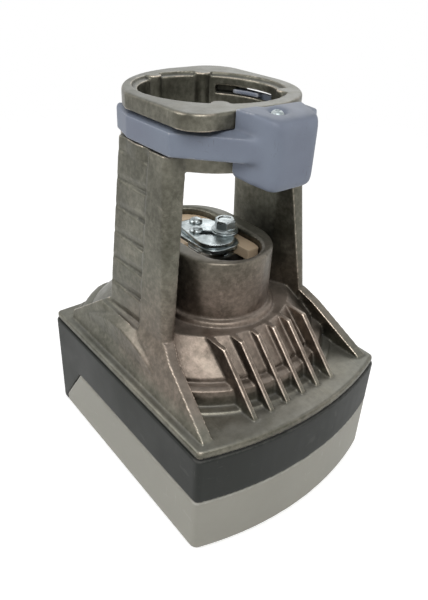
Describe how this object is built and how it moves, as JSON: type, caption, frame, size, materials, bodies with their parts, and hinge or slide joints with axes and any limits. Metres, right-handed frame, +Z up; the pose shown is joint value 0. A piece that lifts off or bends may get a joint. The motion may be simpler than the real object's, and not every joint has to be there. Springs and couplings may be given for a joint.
{
  "type": "electric linear valve actuator",
  "caption": "Electric linear valve actuator: cast yoke with neck ring and clamp bow over a two-part plastic housing, with a spindle drive and stem coupling.",
  "frame": {"origin": "on the stem axis, at the resting face of the cover", "axes": "+Z up the stem axis to the neck ring, -Y to the curved front of the housing, +X to the right of someone facing that front"},
  "size_m": [0.152, 0.19, 0.2425],
  "materials": {
    "cast_aluminium": "as cast, dull brown-grey, rubbed bright on the edges",
    "bow_coat": "matt blue-grey",
    "zinc_steel": "bright zinc plate",
    "turned_steel": "turned",
    "charcoal_plastic": "fine grained",
    "grey_plastic": "fine grained, lightly scuffed",
    "seal_rubber": "matt",
    "bronze": "sintered",
    "wheel_brass": "machined",
    "wheel_plastic": "satin",
    "motor_steel": "satin",
    "guide_plastic": "beige, satin",
    "board": "lacquered",
    "terminal_plastic": "satin",
    "capacitor_sleeve": "smooth"
  },
  "bodies": {
    "housing": {"yoke_casting": "cast_aluminium", "housing_frame": "charcoal_plastic", "housing_gasket": "seal_rubber", "cover": "grey_plastic", "cover_seal": "seal_rubber", "cover_screws": "zinc_steel", "frame_screws": "zinc_steel", "cable_plugs": "charcoal_plastic", "spindle_bush": "bronze", "upper_bearing": "turned_steel", "lower_bearing": "turned_steel", "gear_axles": "turned_steel", "upper_gear_plate": "zinc_steel", "lower_gear_plate": "zinc_steel", "plate_pillars": "turned_steel", "plate_screws": "zinc_steel", "motor": "motor_steel", "circuit_board": "board", "terminal_block": "terminal_plastic", "capacitor": "capacitor_sleeve", "board_standoffs": "turned_steel", "board_screws": "zinc_steel", "motor_screws": "zinc_steel", "limit_switches": "terminal_plastic"},
    "bow": {"clamp_bow": "bow_coat"},
    "bow_screw": {"clamp_screw": "zinc_steel"},
    "bow_wedge": {"clamp_wedge_nut": "zinc_steel"},
    "drive_gear": {"spindle_gear": "wheel_brass"},
    "second_stage": {"second_gear": "wheel_plastic"},
    "first_stage": {"first_gear": "wheel_plastic"},
    "motor_rotor": {"motor_pinion": "wheel_brass"},
    "stem_drive": {"spindle": "turned_steel", "stem_carrier": "turned_steel", "stem_guide": "guide_plastic", "carrier_plate": "zinc_steel", "clamp_plate": "zinc_steel", "coupling_rivets": "zinc_steel", "coupling_washer": "zinc_steel", "retaining_clip": "zinc_steel"},
    "stem_bolt": {"coupling_bolt": "zinc_steel"}
  },
  "joints": [
    {"name": "drive_gear_turn", "type": "hinge", "parent": "housing", "child": "drive_gear", "pos_m": [0, 0, 0.0545], "axis": [0, 0, 1], "range_deg": [-1440, 0]},
    {"name": "stem_lift", "type": "slide", "parent": "housing", "child": "stem_drive", "axis": [0, 0, 1], "range_m": [-0.02, 0]},
    {"name": "second_stage_turn", "type": "hinge", "parent": "housing", "child": "second_stage", "pos_m": [0.01282, -0.03524, 0.054], "axis": [0, 0, 1], "range_deg": [0, 5760]},
    {"name": "first_stage_turn", "type": "hinge", "parent": "housing", "child": "first_stage", "pos_m": [0.03274, -0.05195, 0.054], "axis": [0, 0, 1], "range_deg": [-19200, 0]},
    {"name": "motor_turn", "type": "hinge", "parent": "housing", "child": "motor_rotor", "pos_m": [0.00874, -0.05195, 0.046], "axis": [0, 0, 1], "range_deg": [0, 57600]},
    {"name": "stem_bolt_turn", "type": "hinge", "parent": "stem_drive", "child": "stem_bolt", "pos_m": [0.012, -0.006, 0.15], "axis": [0, 0, 1], "range_deg": [0, 1080]},
    {"name": "bow_slide", "type": "slide", "parent": "housing", "child": "bow", "axis": [0, -1, 0], "range_m": [0, 0.003]},
    {"name": "bow_screw_turn", "type": "hinge", "parent": "bow", "child": "bow_screw", "pos_m": [-0.0065, -0.0605, 0.225], "axis": [0, 0, 1], "range_deg": [0, 2160]},
    {"name": "bow_wedge_lift", "type": "slide", "parent": "bow", "child": "bow_wedge", "axis": [0, 0, 1], "range_m": [0, 0.00481]}
  ],
  "couplings": [
    {"joint": "stem_lift", "follows": "drive_gear_turn", "m_per_rad": 0.00079577},
    {"joint": "second_stage_turn", "follows": "drive_gear_turn", "ratio": -4},
    {"joint": "first_stage_turn", "follows": "drive_gear_turn", "ratio": 13.333},
    {"joint": "motor_turn", "follows": "drive_gear_turn", "ratio": -40},
    {"joint": "bow_screw_turn", "follows": "bow_slide", "rad_per_m": 12566},
    {"joint": "bow_wedge_lift", "follows": "bow_slide", "ratio": 1.6}
  ]
}
